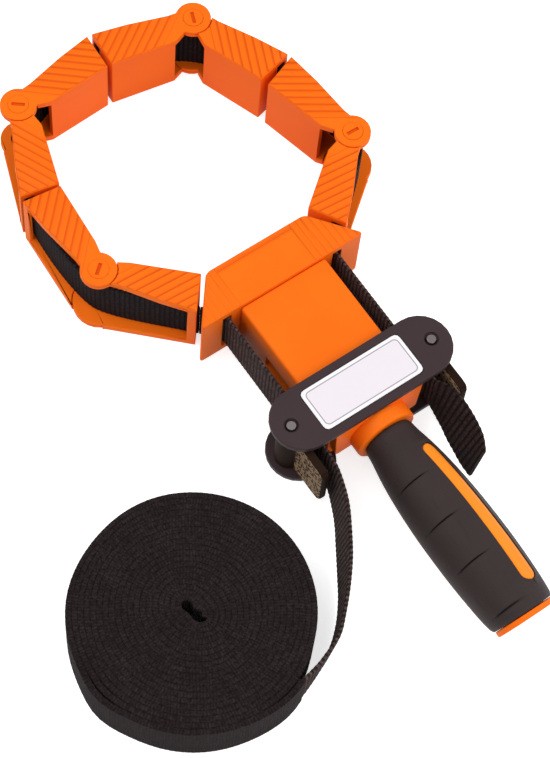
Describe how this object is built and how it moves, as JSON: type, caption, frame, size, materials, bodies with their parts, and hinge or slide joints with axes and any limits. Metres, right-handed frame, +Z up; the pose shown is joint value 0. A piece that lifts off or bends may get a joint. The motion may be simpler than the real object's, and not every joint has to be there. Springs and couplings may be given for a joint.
{
  "type": "band clamp",
  "caption": "Band clamp with a ring of hinged corner pieces on a webbing strap, cam levers on a crossbar and a screw handle.",
  "frame": {"origin": "on the floor, below the middle of the box round all but the free strap", "axes": "+Y along the spindle from the handle to the ring, +X along the crossbar to the right, +Z up, normal to the plates"},
  "size_m": [0.2406, 0.3222, 0.0346],
  "materials": {
    "orange_plastic": "semi-matte moulded",
    "black_plastic": "fine matte",
    "grip_rubber": "soft matte",
    "white_plastic": "smooth",
    "steel": "zinc plated",
    "webbing": "woven nylon"
  },
  "bodies": {
    "body": {"body_housing": "orange_plastic", "front_jaw": "orange_plastic", "rear_collar": "orange_plastic", "jaw_screw_left": "steel", "jaw_screw_right": "steel", "thrust_washer": "steel", "strap_jaw_left": "webbing", "strap_jaw_right": "webbing", "strap_run_left": "webbing", "strap_run_right": "webbing", "strap_lead": "webbing", "strap_coil": "webbing", "strap_tail": "webbing"},
    "handle": {"drive_spindle": "steel", "handle_core": "black_plastic", "handle_grip": "grip_rubber", "handle_inlay_1": "orange_plastic", "handle_inlay_2": "orange_plastic", "handle_end_cap": "orange_plastic"},
    "crossbar": {"travelling_nut": "steel", "trunnion_left": "steel", "trunnion_right": "steel", "crossbar_top_plate": "black_plastic", "crossbar_bottom_plate": "black_plastic", "label_plate": "white_plastic", "crossbar_post_left": "steel", "crossbar_post_right": "steel", "lever_rivet_left": "steel", "lever_rivet_right": "steel"},
    "left_lever": {"cam_lever_left": "black_plastic"},
    "right_lever": {"cam_lever_right": "black_plastic"},
    "rear_left_near_arm": {"rear_left_near_arm": "orange_plastic", "strap_rear_left_near": "webbing"},
    "rear_left_far_arm": {"rear_left_far_arm": "orange_plastic", "rear_left_top_pin": "orange_plastic", "rear_left_bottom_pin": "orange_plastic", "strap_rear_left_far": "webbing"},
    "front_left_near_arm": {"front_left_near_arm": "orange_plastic", "strap_front_left_near": "webbing"},
    "front_left_far_arm": {"front_left_far_arm": "orange_plastic", "front_left_top_pin": "orange_plastic", "front_left_bottom_pin": "orange_plastic", "strap_front_left_far": "webbing"},
    "rear_right_near_arm": {"rear_right_near_arm": "orange_plastic", "strap_rear_right_near": "webbing"},
    "rear_right_far_arm": {"rear_right_far_arm": "orange_plastic", "rear_right_top_pin": "orange_plastic", "rear_right_bottom_pin": "orange_plastic", "strap_rear_right_far": "webbing"},
    "front_right_near_arm": {"front_right_near_arm": "orange_plastic", "strap_front_right_near": "webbing"},
    "front_right_far_arm": {"front_right_far_arm": "orange_plastic", "front_right_top_pin": "orange_plastic", "front_right_bottom_pin": "orange_plastic", "strap_front_right_far": "webbing"}
  },
  "joints": [
    {"name": "handle_turn", "type": "hinge", "parent": "body", "child": "handle", "pos_m": [-0.00194, -0.10175, 0.0173], "axis": [0, 1, 0], "range_deg": [-2880, 0]},
    {"name": "crossbar_slide", "type": "slide", "parent": "body", "child": "crossbar", "axis": [0, 1, 0], "range_m": [0, 0.0321]},
    {"name": "left_lever_pivot", "type": "hinge", "parent": "crossbar", "child": "left_lever", "pos_m": [-0.03764, -0.04175, 0.0173], "axis": [0, 0, 1], "range_deg": [-80, 0]},
    {"name": "right_lever_pivot", "type": "hinge", "parent": "crossbar", "child": "right_lever", "pos_m": [0.03376, -0.04175, 0.0173], "axis": [0, 0, 1], "range_deg": [0, 80]},
    {"name": "rear_left_strap_bend", "type": "hinge", "parent": "body", "child": "rear_left_near_arm", "pos_m": [-0.03701, 0.02547, 0.0165], "axis": [0, 0, 1], "range_deg": [0, 14], "deforming": ["strap_jaw_left", "strap_rear_left_near"]},
    {"name": "rear_left_hinge", "type": "hinge", "parent": "rear_left_near_arm", "child": "rear_left_far_arm", "pos_m": [-0.0639, 0.06218, 0.0165], "axis": [0, 0, 1], "range_deg": [0, 39], "deforming": ["strap_rear_left_far"]},
    {"name": "front_left_strap_bend", "type": "hinge", "parent": "rear_left_far_arm", "child": "front_left_near_arm", "pos_m": [-0.06925, 0.10737, 0.0165], "axis": [0, 0, 1], "range_deg": [0, 14], "deforming": ["strap_front_left_near"]},
    {"name": "front_left_hinge", "type": "hinge", "parent": "front_left_near_arm", "child": "front_left_far_arm", "pos_m": [-0.04932, 0.14828, 0.0165], "axis": [0, 0, 1], "range_deg": [-12, 62], "deforming": ["strap_front_left_far"]},
    {"name": "rear_right_strap_bend", "type": "hinge", "parent": "body", "child": "rear_right_near_arm", "pos_m": [0.03314, 0.02548, 0.0165], "axis": [0, 0, 1], "range_deg": [-14, 0], "deforming": ["strap_jaw_right", "strap_rear_right_near"]},
    {"name": "rear_right_hinge", "type": "hinge", "parent": "rear_right_near_arm", "child": "rear_right_far_arm", "pos_m": [0.06482, 0.05814, 0.0165], "axis": [0, 0, 1], "range_deg": [-60, 0], "deforming": ["strap_rear_right_far"]},
    {"name": "front_right_strap_bend", "type": "hinge", "parent": "rear_right_far_arm", "child": "front_right_near_arm", "pos_m": [0.05978, 0.10336, 0.0165], "axis": [0, 0, 1], "range_deg": [-14, 0], "deforming": ["strap_front_right_near"]},
    {"name": "front_right_hinge", "type": "hinge", "parent": "front_right_near_arm", "child": "front_right_far_arm", "pos_m": [0.03893, 0.14381, 0.0165], "axis": [0, 0, 1], "range_deg": [-55, 12], "deforming": ["strap_front_right_far"]}
  ],
  "couplings": [
    {"joint": "crossbar_slide", "follows": "handle_turn", "m_per_rad": -0.00063662}
  ]
}
